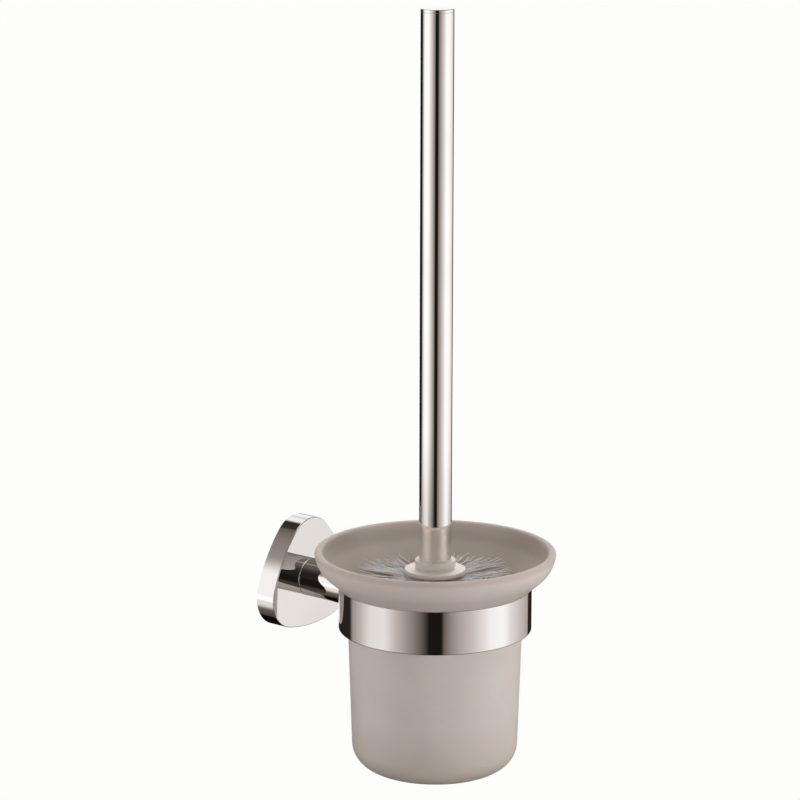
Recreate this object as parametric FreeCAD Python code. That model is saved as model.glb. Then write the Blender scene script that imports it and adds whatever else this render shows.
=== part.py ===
import FreeCAD, Part
import math
import os

# Wall-hung toilet brush holder, in millimetres.
# The origin is on the wall, at the middle of the wall plate's back and on the arm's axis.
# -Y points out of the wall, +Z points up, and the object is the same on both sides of X = 0.
# Every turned piece round the cup is drawn on the Z axis as (radius, height) and moved out to it.

# ---- wall plate, bracket and arm ----
plate_depth = 11.3              # wall to the plate's front face
plate_corner_offset = 15.6      # arm's axis to the centre of each rounded corner
plate_corner_radius = 15.7
plate_side_radius = 73.5        # bow of each side
plate_wall = 2.0
plate_front = 2.5               # thickness of the plate's front
plate_edge_chamfer = 0.4
bracket_thickness = 3.0
bracket_clearance = 0.3         # bracket to the inside of the plate, all round
wall_hole_radius = 2.25
wall_hole_spacing = 28.0
arm_length = 33.6               # plate's front to the nearest point of the ring
arm_radius = 9.8
arm_edge_chamfer = 0.3
post_radius = 6.0
post_insertion = 17.0           # length of the post inside the arm
post_clearance = 0.1            # radial, in the arm's bore and the plate's hole
post_end_gap = 0.8
post_chamfer = 0.5
post_groove_depth = 0.5
post_groove_width = 4.6
grub_distance = 10.2            # plate's front to the grub screw's axis
grub_radius = 2.0
grub_recess = 0.3
grub_socket_across_flats = 2.0
grub_socket_depth = 1.6

# ---- ring that carries the cup ----
ring_neck_gap = 1.8             # ring's inner wall to the cup's neck
ring_wall = 2.2
ring_margin = 1.1               # ring's edges beyond the arm, above and below
ring_lip = 0.7                  # thin outer lip that hides the gasket
ring_edge_radius = 0.6
ring_screw_radius = 2.0
ring_screw_head_radius = 3.9
ring_screw_head_sink = 0.2      # head below the ring's inner wall
ring_screw_land = 0.2           # straight hole between the countersink and the arm
ring_screw_insertion = 9.0
ring_screw_end_gap = 1.0
ring_screw_socket_depth = 1.0
screw_clearance = 0.05          # radial, where a thread is drawn plain

# ---- glass cup ----
cup_neck_radius = 43.6
cup_body_draft = 2.8            # how much narrower the cup is at its base than at its neck
cup_rim_overhang = 15.85        # neck's outside to the rim's outside
cup_height = 110.5
cup_wall = 4.0
cup_floor = 5.0
cup_base_corner = 12.3
cup_neck_corner = 6.0
cup_bowl_corner = 16.0
cup_lip_flat = 0.6              # flat left between the rim's two rounded edges
cup_rim_land = 0.13             # upright stretch between the bowl's curve and the rim
bowl_angle = 40.0               # slope of the bowl's underside above the horizontal
cup_ring_gap = 0.2              # between the glass and the ring's top edge, upwards

# ---- gasket between the ring and the cup ----
gasket_thickness = 0.8
gasket_leg_thickness = 0.9
gasket_leg_length = 3.0
gasket_clearance = 0.15         # to the ring below it and the glass above it

# ---- brush: handle ----
tube_radius = 8.0
tube_wall = 1.0
handle_top_above_rim = 264.5
cap_thickness = 1.7
cap_plug_length = 8.0
cap_edge_chamfer = 0.3
plug_clearance = 0.02           # radial, of a plug pressed into the tube
insert_length = 18.0
stud_radius = 4.0
stud_core_length = 13.0
stud_insert_length = 12.5
stud_insert_end_gap = 1.0
stud_clearance = 0.05           # radial, in the insert's thread
stud_socket_clearance = 0.02    # radial, where it is moulded into the core

# ---- brush: head ----
collar_wall = 1.95
collar_height = 3.1
collar_floor = 0.7
collar_below_rim = 4.6          # rim down to the collar's top
collar_clearance = 0.05
collar_hole_clearance = 0.25
collar_edge_radius = 0.5
neck_radius = 9.7
neck_height = 1.5
flange_overhang = 5.0           # flange beyond the collar
flange_thickness = 2.1
flange_edge_radius = 0.5
core_radius = 8.0
row_count = 8
first_row_below_flange = 2.6
last_row_above_end = 5.8
root_half_thickness = 1.5
tip_half_thickness = 3.0
root_clearance = 0.02
bristle_wall_clearance = 2.0
end_tuft_length = 12.5
end_tuft_root_radius = 7.0
end_tuft_wall_gap = 2.5         # end tuft's tips to the rounded corner of the cup's floor
end_tuft_floor_gap = 0.3

# ---- heights and radii that follow from the sizes above ----
ring_top = arm_radius + ring_margin
ring_bottom = -ring_top
ring_inner_radius = cup_neck_radius + ring_neck_gap
ring_outer_radius = ring_inner_radius + ring_wall
ring_side = plate_depth + arm_length
reach = ring_side + ring_outer_radius
ring_screw_head = ring_side + ring_wall - ring_screw_head_sink
ring_screw_head_height = ring_wall - ring_screw_head_sink - ring_screw_land
bowl_slope = math.tan(math.radians(bowl_angle))
bowl_bend = math.tan(math.radians(90 - bowl_angle) / 2)
cup_rim_radius = cup_neck_radius + cup_rim_overhang
cup_base_radius = cup_neck_radius - cup_body_draft
cup_lip_radius = (cup_wall - cup_lip_flat) / 2
neck_z = ring_top + cup_ring_gap - (ring_outer_radius - cup_neck_radius) * bowl_slope
bowl_corner_z = neck_z + cup_rim_overhang * bowl_slope
rim_top = bowl_corner_z + cup_bowl_corner * bowl_bend + cup_rim_land
cup_bottom = rim_top - cup_height
cup_floor_top = cup_bottom + cup_floor
taper = cup_body_draft / (neck_z - cup_bottom)
collar_radius = tube_radius + collar_clearance + collar_wall
flange_radius = collar_radius + flange_overhang
collar_top = rim_top - collar_below_rim
collar_bottom = collar_top - collar_height
core_top = collar_bottom - 2 * collar_clearance
flange_top = core_top - neck_height
flange_bottom = flange_top - flange_thickness
core_bottom = cup_floor_top + end_tuft_floor_gap + end_tuft_length
end_tuft_tip_radius = cup_base_radius - cup_base_corner - end_tuft_wall_gap
tube_bottom = collar_bottom + collar_floor + collar_clearance
handle_top = rim_top + handle_top_above_rim
tube_top = handle_top - cap_thickness
tube_bore_radius = tube_radius - tube_wall
stud_bottom = core_top - stud_core_length
stud_top = tube_bottom + stud_insert_length
first_row_z = flange_bottom - first_row_below_flange
last_row_z = core_bottom + last_row_above_end
post_end = plate_depth + post_insertion
grub_y = plate_depth + grub_distance
post_groove_radius = post_radius - post_groove_depth

V = FreeCAD.Vector
UP = V(0, 0, 1)
OUT = V(0, -1, 0)
CUP_AXIS = V(0, -reach, 0)


# ---- drawing helpers ----
def corner_arc(before, corner, after, radius):
    """Start, middle and end of the arc that rounds one corner of an outline."""
    a = (before - corner).normalize()
    b = (after - corner).normalize()
    half = a.getAngle(b) / 2
    start = corner + a * (radius / math.tan(half))
    end = corner + b * (radius / math.tan(half))
    bisector = (a + b).normalize()
    middle = corner + bisector * (radius / math.sin(half) - radius)
    return start, middle, end


def rounded_outline(corners):
    """Closed wire in the XZ plane through (radius, height, corner radius) points."""
    points = [V(r, 0, z) for r, z, rounding in corners]
    edges = []
    ends = []
    for i, (r, z, rounding) in enumerate(corners):
        if rounding:
            arc = corner_arc(points[i - 1], points[i], points[(i + 1) % len(points)], rounding)
            ends.append((arc[0], arc[2]))
            edges.append(Part.Arc(*arc).toShape())
        else:
            ends.append((points[i], points[i]))
    for i, (start, end) in enumerate(ends):
        before = ends[i - 1][1]
        if before.distanceToPoint(start) > 1e-6:
            edges.append(Part.makeLine(before, start))
    return Part.Wire(Part.__sortEdges__(edges))


def turned(corners):
    """Solid of revolution about the cup's axis."""
    face = Part.Face(rounded_outline(corners))
    solid = face.revolve(V(0, 0, 0), UP, 360)
    solid.translate(CUP_AXIS)
    return solid


def rod(radius, start, length, direction):
    return Part.makeCylinder(radius, length, start, direction)


def arm_rod(radius, near, far):
    """Rod on the arm's axis, between two distances from the wall."""
    return rod(radius, V(0, -near, 0), far - near, OUT)


def hexagon_prism(across_flats, start, length, direction):
    """Hexagonal prism that starts at a point and runs along a direction."""
    radius = across_flats / math.sqrt(3)
    turn = FreeCAD.Rotation(UP, direction)
    corners = []
    for i in range(7):
        angle = math.radians(60 * i)
        flat = V(radius * math.cos(angle), radius * math.sin(angle), 0)
        corners.append(start + turn.multVec(flat))
    return Part.Face(Part.makePolygon(corners)).extrude(direction * length)


def rounded_triangle(inset, near, far):
    """Prism with three round corners, one of them up, and three bowed sides."""
    offset = plate_corner_offset
    bow = plate_side_radius - plate_corner_radius
    side_offset = (math.sqrt(4 * bow ** 2 - 3 * offset ** 2) - offset) / 2
    side_radius = plate_side_radius - inset
    corner_radius = plate_corner_radius - inset
    edges = []
    for i in range(3):
        corner_angle = math.radians(90 + 120 * i)
        corner = V(math.cos(corner_angle), 0, math.sin(corner_angle)) * offset
        side_angles = [corner_angle - math.radians(60), corner_angle + math.radians(60)]
        joins = []
        for angle in side_angles:
            side_centre = V(math.cos(angle), 0, math.sin(angle)) * -side_offset
            joins.append(corner + (corner - side_centre).normalize() * corner_radius)
        tip = corner + V(corner).normalize() * corner_radius
        edges.append(Part.Arc(joins[0], tip, joins[1]).toShape())
        angle = side_angles[1]
        middle = V(math.cos(angle), 0, math.sin(angle)) * (side_radius - side_offset)
        next_corner_angle = corner_angle + math.radians(120)
        next_corner = V(math.cos(next_corner_angle), 0, math.sin(next_corner_angle)) * offset
        side_centre = V(math.cos(angle), 0, math.sin(angle)) * -side_offset
        next_join = next_corner + (next_corner - side_centre).normalize() * corner_radius
        edges.append(Part.Arc(joins[1], middle, next_join).toShape())
    face = Part.Face(Part.Wire(Part.__sortEdges__(edges)))
    prism = face.extrude(OUT * (far - near))
    prism.translate(OUT * near)
    return prism


def edges_at(shape, y):
    """Edges that lie wholly at one distance along Y."""
    return [e for e in shape.Edges if all(abs(v.Y - y) < 1e-6 for v in e.Vertexes)
            and abs(e.CenterOfMass.y - y) < 1e-6]


# ---- wall plate and what holds it ----
def make_wall_plate():
    shell = rounded_triangle(0, 0, plate_depth)
    shell = shell.makeChamfer(plate_edge_chamfer, edges_at(shell, -plate_depth))
    shell = shell.cut(rounded_triangle(plate_wall, 0, plate_depth - plate_front))
    return shell.cut(arm_rod(post_radius + post_clearance, 0, plate_depth))


def make_wall_bracket():
    plate = rounded_triangle(plate_wall + bracket_clearance, 0, bracket_thickness)
    for side in (-1, 1):
        centre = V(side * wall_hole_spacing / 2, 0, 0)
        plate = plate.cut(rod(wall_hole_radius, centre, bracket_thickness, OUT))
    return plate


def make_bracket_post():
    post = arm_rod(post_radius, bracket_thickness, post_end)
    post = post.makeChamfer(post_chamfer, edges_at(post, -post_end))
    start = grub_y - post_groove_width / 2
    end = grub_y + post_groove_width / 2
    groove = arm_rod(post_radius + 1, start, end).cut(arm_rod(post_groove_radius, start, end))
    return post.cut(groove)


# ---- arm and its screws ----
def make_arm():
    arm = arm_rod(arm_radius, plate_depth, reach)
    arm = arm.makeChamfer(arm_edge_chamfer, edges_at(arm, -plate_depth))
    ring_space = rod(ring_outer_radius, CUP_AXIS - UP * arm_radius * 2, arm_radius * 4, UP)
    arm = arm.cut(ring_space)
    arm = arm.cut(arm_rod(post_radius + post_clearance, plate_depth, post_end + post_end_gap))
    thread_end = ring_side - ring_screw_insertion - ring_screw_end_gap
    arm = arm.cut(arm_rod(ring_screw_radius + screw_clearance, thread_end, reach))
    grub_hole = rod(grub_radius + screw_clearance, V(0, -grub_y, 0), arm_radius * 2, -UP)
    return arm.cut(grub_hole)


def make_arm_grub_screw():
    bottom = V(0, -grub_y, grub_recess - arm_radius)
    screw = rod(grub_radius, bottom, arm_radius - grub_recess - post_groove_radius, UP)
    return screw.cut(hexagon_prism(grub_socket_across_flats, bottom, grub_socket_depth, UP))


def countersunk(clearance, tip):
    """Countersunk screw from inside the ring towards the arm, with room all round it."""
    head = V(0, -ring_screw_head, 0)
    head_radius = ring_screw_head_radius + clearance
    shank_radius = ring_screw_radius + clearance
    cone = Part.makeCone(head_radius, shank_radius, ring_screw_head_height, head, -OUT)
    return cone.fuse(rod(shank_radius, head, ring_screw_head - tip, -OUT)).removeSplitter()


def make_ring_screw():
    screw = countersunk(0, ring_side - ring_screw_insertion)
    head = V(0, -ring_screw_head, 0)
    return screw.cut(hexagon_prism(grub_socket_across_flats, head, ring_screw_socket_depth, -OUT))


# ---- ring and gasket ----
def glass_underside(radius):
    """Height of the bowl's underside at a radius, lower where the neck is rounded."""
    slope = math.radians(bowl_angle)
    turn = math.radians(90) - slope + math.atan(taper)
    rounded_length = cup_neck_corner * math.tan(turn / 2)
    straight = neck_z + (radius - cup_neck_radius) * bowl_slope
    into_round = rounded_length - (radius - cup_neck_radius) / math.cos(slope)
    if into_round <= 0:
        return straight
    drop = cup_neck_corner - math.sqrt(cup_neck_corner ** 2 - into_round ** 2)
    return straight - drop / math.cos(slope)


def gasket_seat(radius):
    """Height of the ring's sloping seat at a radius."""
    stack = gasket_thickness + 2 * gasket_clearance
    return glass_underside(radius) - stack / math.cos(math.radians(bowl_angle))


def make_holder_ring():
    lip_radius = ring_outer_radius - ring_lip
    ring = turned([
        (ring_inner_radius, ring_bottom, 0),
        (ring_outer_radius, ring_bottom, ring_edge_radius),
        (ring_outer_radius, ring_top, 0),
        (lip_radius, glass_underside(lip_radius) - cup_ring_gap, 0),
        (lip_radius, gasket_seat(lip_radius), 0),
        (ring_inner_radius, gasket_seat(ring_inner_radius), 0),
    ])
    ring = ring.cut(countersunk(screw_clearance, plate_depth))
    mouth_radius = ring_screw_head_radius + screw_clearance
    return ring.cut(arm_rod(mouth_radius, ring_screw_head, reach))


def make_seat_gasket():
    rise = gasket_clearance / math.cos(math.radians(bowl_angle))
    leg_outer = ring_inner_radius - gasket_clearance
    leg_inner = leg_outer - gasket_leg_thickness
    leg_bottom = gasket_seat(leg_outer) - gasket_leg_length
    outer = ring_outer_radius - ring_lip - gasket_clearance
    return turned([
        (leg_inner, leg_bottom, 0),
        (leg_outer, leg_bottom, 0),
        (leg_outer, gasket_seat(leg_outer) + rise, 0),
        (outer, gasket_seat(outer) + rise, 0),
        (outer, glass_underside(outer) - rise, 0),
        (leg_outer, glass_underside(leg_outer) - rise, 0),
        (leg_inner, glass_underside(leg_inner) - rise, 0),
    ])


# ---- glass cup ----
def inside_corner(point, direction_a, thickness_a, direction_b, thickness_b):
    """Where two walls' inner faces meet, from the corner where their outer faces meet."""
    normal_a = (-direction_a[1], direction_a[0])
    normal_b = (-direction_b[1], direction_b[0])
    det = normal_a[0] * normal_b[1] - normal_a[1] * normal_b[0]
    dr = (thickness_a * normal_b[1] - thickness_b * normal_a[1]) / det
    dz = (thickness_b * normal_a[0] - thickness_a * normal_b[0]) / det
    return point[0] + dr, point[1] + dz


def make_glass_cup():
    tilt = math.atan(taper)
    slope = math.radians(bowl_angle)
    along_floor = (1, 0)
    along_body = (math.sin(tilt), math.cos(tilt))
    along_bowl = (math.cos(slope), math.sin(slope))
    along_rim = (0, 1)
    base = (cup_base_radius, cup_bottom)
    neck = (cup_neck_radius, neck_z)
    bowl = (cup_rim_radius, bowl_corner_z)
    inner_base = inside_corner(base, along_floor, cup_floor, along_body, cup_wall)
    inner_neck = inside_corner(neck, along_body, cup_wall, along_bowl, cup_wall)
    inner_bowl = inside_corner(bowl, along_bowl, cup_wall, along_rim, cup_wall)
    return turned([
        (0, cup_bottom, 0),
        (*base, cup_base_corner),
        (*neck, cup_neck_corner),
        (*bowl, cup_bowl_corner),
        (cup_rim_radius, rim_top, 0),
        (cup_rim_radius - cup_wall, rim_top, 0),
        (*inner_bowl, cup_bowl_corner - cup_wall),
        (*inner_neck, cup_neck_corner + cup_wall),
        (*inner_base, cup_base_corner - cup_wall),
        (0, cup_floor_top, 0),
    ])


def rounded_lip(cup):
    """Round both edges of the cup's rim."""
    rim = [e for e in cup.Edges if abs(e.CenterOfMass.z - rim_top) < 1e-6 and len(e.Vertexes) == 1]
    return cup.makeFillet(cup_lip_radius, rim)


# ---- brush handle ----
def make_handle_tube():
    return turned([
        (tube_bore_radius, tube_bottom, 0),
        (tube_radius, tube_bottom, 0),
        (tube_radius, tube_top, 0),
        (tube_bore_radius, tube_top, 0),
    ])


def make_handle_cap():
    plug = tube_bore_radius - plug_clearance
    return turned([
        (0, tube_top - cap_plug_length, 0),
        (plug, tube_top - cap_plug_length, 0),
        (plug, tube_top, 0),
        (tube_radius, tube_top, 0),
        (tube_radius, handle_top - cap_edge_chamfer, 0),
        (tube_radius - cap_edge_chamfer, handle_top, 0),
        (0, handle_top, 0),
    ])


def make_handle_insert():
    bore = stud_radius + stud_clearance
    return turned([
        (bore, tube_bottom, 0),
        (tube_bore_radius - plug_clearance, tube_bottom, 0),
        (tube_bore_radius - plug_clearance, tube_bottom + insert_length, 0),
        (0, tube_bottom + insert_length, 0),
        (0, stud_top + stud_insert_end_gap, 0),
        (bore, stud_top + stud_insert_end_gap, 0),
    ])


def make_head_collar():
    hole = stud_radius + collar_hole_clearance
    bore = tube_radius + collar_clearance
    return turned([
        (hole, collar_bottom, 0),
        (collar_radius, collar_bottom, 0),
        (collar_radius, collar_top, collar_edge_radius),
        (bore, collar_top, 0),
        (bore, collar_bottom + collar_floor, 0),
        (hole, collar_bottom + collar_floor, 0),
    ])


# ---- brush head ----
def make_head_stud():
    return turned([
        (0, stud_bottom, 0),
        (stud_radius, stud_bottom, 0),
        (stud_radius, stud_top, 0),
        (0, stud_top, 0),
    ])


def make_brush_core():
    socket = stud_radius + stud_socket_clearance
    return turned([
        (0, core_bottom, 0),
        (core_radius, core_bottom, 0),
        (core_radius, flange_bottom, 0),
        (flange_radius, flange_bottom, flange_edge_radius),
        (flange_radius, flange_top, flange_edge_radius),
        (neck_radius, flange_top, 0),
        (neck_radius, core_top, 0),
        (socket, core_top, 0),
        (socket, stud_bottom, 0),
        (0, stud_bottom, 0),
    ])


def bristle_reach(z):
    """Radius of the bristles' tips at a height: the cup's inside, less a clearance."""
    wall = cup_wall / math.cos(math.atan(taper))
    cup_inside = cup_base_radius + (z - cup_bottom) * taper - wall
    return cup_inside - bristle_wall_clearance


def make_bristle_row(z):
    """One row of tufts round the core, which spread towards their tips."""
    root = core_radius + root_clearance
    tip = bristle_reach(z)
    return turned([
        (root, z - root_half_thickness, 0),
        (tip, z - tip_half_thickness, 0),
        (tip, z + tip_half_thickness, 0),
        (root, z + root_half_thickness, 0),
    ])


def make_bristle_end_tuft():
    """Tufts that point down from the core's end and spread over the cup's floor."""
    return turned([
        (0, core_bottom - end_tuft_length, 0),
        (end_tuft_tip_radius, core_bottom - end_tuft_length, 0),
        (end_tuft_root_radius, core_bottom, 0),
        (0, core_bottom, 0),
    ])


# ---- the whole object ----
def all_parts():
    parts = {
        "wall_plate": make_wall_plate(),
        "wall_bracket": make_wall_bracket(),
        "bracket_post": make_bracket_post(),
        "arm": make_arm(),
        "arm_grub_screw": make_arm_grub_screw(),
        "holder_ring": make_holder_ring(),
        "ring_screw": make_ring_screw(),
        "seat_gasket": make_seat_gasket(),
        "glass_cup": rounded_lip(make_glass_cup()),
        "handle_tube": make_handle_tube(),
        "handle_cap": make_handle_cap(),
        "handle_insert": make_handle_insert(),
        "head_collar": make_head_collar(),
        "head_stud": make_head_stud(),
        "brush_core": make_brush_core(),
        "bristle_end_tuft": make_bristle_end_tuft(),
    }
    row_pitch = (first_row_z - last_row_z) / (row_count - 1)
    for i in range(row_count):
        parts[f"bristle_row_{i + 1}"] = make_bristle_row(first_row_z - i * row_pitch)
    return parts


os.makedirs("parts", exist_ok=True)
for name, shape in all_parts().items():
    shape.exportStep(f"parts/{name}.step")
    print(name, "solids", len(shape.Solids), "valid", shape.isValid(), "volume", round(shape.Volume, 1))
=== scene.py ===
import math

import bmesh
import bpy
import numpy as np
from mathutils import Matrix, Vector


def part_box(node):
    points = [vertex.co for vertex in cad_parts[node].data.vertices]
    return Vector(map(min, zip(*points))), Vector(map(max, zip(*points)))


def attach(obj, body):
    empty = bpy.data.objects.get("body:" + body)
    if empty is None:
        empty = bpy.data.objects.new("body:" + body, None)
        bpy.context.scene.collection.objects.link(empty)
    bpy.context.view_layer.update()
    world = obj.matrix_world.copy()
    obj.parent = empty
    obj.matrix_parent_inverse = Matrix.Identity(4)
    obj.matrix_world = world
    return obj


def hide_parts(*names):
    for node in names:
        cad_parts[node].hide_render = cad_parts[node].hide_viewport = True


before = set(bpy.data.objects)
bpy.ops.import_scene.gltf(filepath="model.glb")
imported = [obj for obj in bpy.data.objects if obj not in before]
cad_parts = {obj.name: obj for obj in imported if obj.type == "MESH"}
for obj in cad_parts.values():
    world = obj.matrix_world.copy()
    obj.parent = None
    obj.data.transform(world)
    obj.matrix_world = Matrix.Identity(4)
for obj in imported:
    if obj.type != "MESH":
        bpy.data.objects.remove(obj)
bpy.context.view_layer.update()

# Looks of a wall-hung toilet brush holder, in metres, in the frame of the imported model.
# The wall is the plane Y = 0, -Y points out of it and +Z points up.
MM = 0.001

# ---- places taken from the frame ----
ring_low, ring_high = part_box("holder_ring")
cup_low, cup_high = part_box("glass_cup")
tube_low, tube_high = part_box("handle_tube")
cap_low, cap_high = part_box("handle_cap")
collar_low, collar_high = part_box("head_collar")
core_low, core_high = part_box("brush_core")
arm_low, arm_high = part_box("arm")
grub_low, grub_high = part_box("arm_grub_screw")
plate_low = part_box("wall_plate")[0]
screw_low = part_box("ring_screw")[0]
stud_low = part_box("head_stud")[0]

axis_y = (ring_low.y + ring_high.y) / 2
CUP_AXIS = Vector((0, axis_y, 0))
ring_radius = ring_high.x
ring_top = ring_high.z
ring_bottom = ring_low.z
rim_radius = cup_high.x
rim_top = cup_high.z
cup_bottom = cup_low.z
tube_radius = tube_high.x
collar_radius = collar_high.x
flange_radius = core_high.x
arm_radius = arm_high.z
plate_depth = -plate_low.y

# ---- thicknesses, roundings and details that the boxes don't give ----
CUP_SEGMENTS = 320
RING_SEGMENTS = 320
BAR_SEGMENTS = 192              # tube, cap and arm
MOULDING_SEGMENTS = 160         # collar and core
SCREW_HOLE_SEGMENTS = 64
GRUB_HOLE_SEGMENTS = 48
TINY = 1e-9                     # a length that counts as none
CORNER_STEPS = 7                # steps in a quarter turn of a rounded corner
FEWEST_STEPS = 3
PLATE_ARC_STEPS = 26
SHARP_ANGLE = math.radians(35)  # faces that meet at more than this keep a crease
QUARTER_TURN = [math.radians(15 * k) for k in range(7)]
MICRO_EDGE = 0.12 * MM          # the smallest rounding that catches the light
PLATE_CORNER_OFFSET = 15.6 * MM
PLATE_CORNER_RADIUS = 15.7 * MM
PLATE_SIDE_RADIUS = 73.5 * MM
PLATE_WALL = 2 * MM
PLATE_FRONT = 2.5 * MM
PLATE_EDGE = 0.45 * MM
POST_BORE = 6.1 * MM
POST_BORE_END = 29.1 * MM
ARM_EDGE = 0.4 * MM
ARM_END_RINGS = (0.75, 0.5)     # shares of the arm's radius at which its end face bends
GRUB_HOLE_MARGIN = 1 * MM       # the cutter's start, below the arm
GRUB_HOLE_REACH = 0.8           # the cutter's end, as a share of the bore's radius
RING_WALL = 2.2 * MM
RING_LIP = 0.7 * MM
RING_EDGE = 0.6 * MM
SCREW_BORE = 2.05 * MM
SCREW_HEAD_RADIUS = 3.95 * MM
SCREW_HEAD_HEIGHT = 1.8 * MM
SCREW_THREAD_LENGTH = 10 * MM
SCREW_HOLE_DEPTH = 12 * MM
SCREW_HOLE_MARGIN = 3 * MM      # the cutter's end, inside the ring
SEAT_RELIEF = 0.2 * MM          # extra room under the gasket at the seat's inner edge
CUP_NECK_RADIUS = 43.6 * MM
CUP_BODY_DRAFT = 2.8 * MM
CUP_WALL = 4 * MM
CUP_FLOOR = 5 * MM
CUP_BASE_CORNER = 12.3 * MM
CUP_NECK_CORNER = 6 * MM
CUP_BOWL_CORNER = 16 * MM
CUP_RIM_LAND = 0.13 * MM
CUP_LIP_RADIUS = 1.7 * MM
CUP_LIP_STEPS = 8
CUP_LIP_MARGIN = 1 * MM         # inside the inner wall, where no point belongs to the lip
CUP_CORNER_STEPS = 16
INSIDE_PAINTED_SHADE_DEPTH = 14 * MM           # depth under the rim at which the inside has its full painted shade
LIP_PAINTED_SHADE = 0.5                 # share of that painted shade on the lip
BOWL_SLOPE = math.radians(40)
GASKET_STACK = 1.1 * MM
CUP_RING_GAP = 0.2 * MM
TUBE_WALL = 1 * MM
CAP_PLUG_PLAY = 0.02 * MM
CAP_EDGE = 0.3 * MM
CAP_SEAM = 0.1 * MM
COLLAR_WALL = 1.95 * MM
COLLAR_FLOOR = 0.7 * MM
COLLAR_HOLE = 4.25 * MM
COLLAR_EDGE = 0.5 * MM
CORE_RADIUS = 8 * MM
CORE_END_EDGE = 0.8 * MM
CORE_FILLET = 0.4 * MM          # where the core meets the flange
CORE_NECK_FILLET = 0.2 * MM
CORE_NECK_RADIUS = 9.7 * MM
CORE_NECK_HEIGHT = 1.5 * MM
FLANGE_THICKNESS = 2.1 * MM
FLANGE_EDGE = 0.5 * MM
STUD_SOCKET = 4.02 * MM

# ---- bristles ----
ROW_COUNT = 8
TUFTS_PER_ROW = 14
STRANDS_PER_TUFT = 22
TOP_STRANDS_PER_TUFT = 12
END_STRANDS = 320
STRAND_RADIUS = 0.18 * MM
STRAND_POINTS = 8
STRAND_SIDES = 5
STRAND_TIP = 0.8                # a tip's thickness as a share of the root's
STRAND_REFERENCE = (0.31, 0.17, 0.93)   # a way that no strand runs along
STRAND_LEAN = 0.16              # sideways, in radians
STRAND_ROOT_DEPTH = 0.6 * MM    # how deep strands start in the core
SWAY_WAVES = (0.5, 1.4)         # fewest and most waves along a strand
SIDE_SWAY = 0.9 * MM
UP_SWAY = 0.5 * MM
LENGTH_SCATTER = 0.025          # share of the length by which strands are shortened
TOP_LENGTH_SCATTER = 0.05
MOST_SHORTENED = 0.3
RISE_SCATTER = 0.35             # share of the row's half height
RISE_CURVE = 1.4                # above 1, a strand bends up or down late
TUFT_TURN_SCATTER = 0.05        # radians
TUFT_ROOT_LEAN = 0.1            # radians, for strands at a tuft's side
TUFT_ROOT_RISE = 0.5            # share of the row's half height, for strands at a tuft's top
TUFT_ROOT_RADIUS = 1.1 * MM
ROW_TURN = 0.5                  # of a tuft's space, between one row and the next
TUFT_SEED = 4127
TOP_ROW_SPLAY = math.radians(-51)       # the top row is bent up on this side and the opposite one
TOP_ROW_LIFT = 5 * MM           # how far up on those sides
TOP_ROW_SAG = 1 * MM            # how far down on the sides between them
TOP_ROW_SCATTER = (0.6, 1.1)    # least and most share of both
FLANGE_CLEARANCE = 0.3 * MM     # room over the strands that pass under the flange
FLANGE_MARGIN = 1 * MM          # how far past the flange strands stay under it
END_ROOT_INSET = 1.2 * MM       # from the core's edge to the outermost root
END_TIP_INSET = 1 * MM
END_CURVE = 1.3                 # above 1, a strand spreads late
END_SWAY = 0.06                 # radians
END_SHORTENED = 0.08            # most of its drop that a strand lacks
END_EXTRA_DROP = 0.4 * MM

# ---- colours: each material drifts between its two tints ----
PATTERN_LOW, PATTERN_HIGH = 0.3, 0.7    # most values of a noise lie between these
CHROME_TINTS = ((0.90, 0.895, 0.89), (0.95, 0.948, 0.945))
GLASS_TINTS = ((0.775, 0.713, 0.668), (0.835, 0.773, 0.728))
# painted shade on the glass: darker towards the cup's base
GLASS_BASE_PAINTED_SHADE = (0.82, 0.81, 0.77)
# painted shade inside the bowl, full from a depth under the rim
GLASS_INSIDE_PAINTED_SHADE = (0.69, 0.655, 0.61)
BASE_PAINTED_SHADE_HEIGHTS = (6 * MM, 32 * MM)  # heights over the cup's base between which its painted shade fades out
PLASTIC_TINTS = ((0.84, 0.80, 0.75), (0.89, 0.855, 0.81))
NYLON_TINTS = ((0.86, 0.86, 0.88), (0.97, 0.97, 0.98))
SILICONE_TINTS = ((0.80, 0.79, 0.76), (0.88, 0.87, 0.85))
BRACKET_TINTS = ((0.50, 0.50, 0.50), (0.62, 0.62, 0.61))
SCREW_TINTS = ((0.55, 0.55, 0.54), (0.68, 0.68, 0.67))
BRASS_TINTS = ((0.62, 0.46, 0.20), (0.74, 0.57, 0.28))

# ---- camera, floor and backdrop ----
CAMERA_AZIMUTH = math.radians(-51.05)
CAMERA_ELEVATION = math.radians(15.38)
CAMERA_DISTANCE = 1.4271
AIM_YAW = math.radians(0.727)
AIM_PITCH = math.radians(-2.954)
AIM_ROLL = math.radians(0.08)
LENS_MM = 130.5
SENSOR_MM = 36
FLOOR_DROP = 0.22
FLOOR_HALF = 6
BACKDROP = (0.985, 0.985, 0.972)


# ---- camera ----
def towards(azimuth, elevation):
    """Unit vector at an azimuth from straight out of the wall, and an elevation."""
    level = math.cos(elevation)
    return Vector((math.sin(azimuth) * level, -math.cos(azimuth) * level, math.sin(elevation)))


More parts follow.
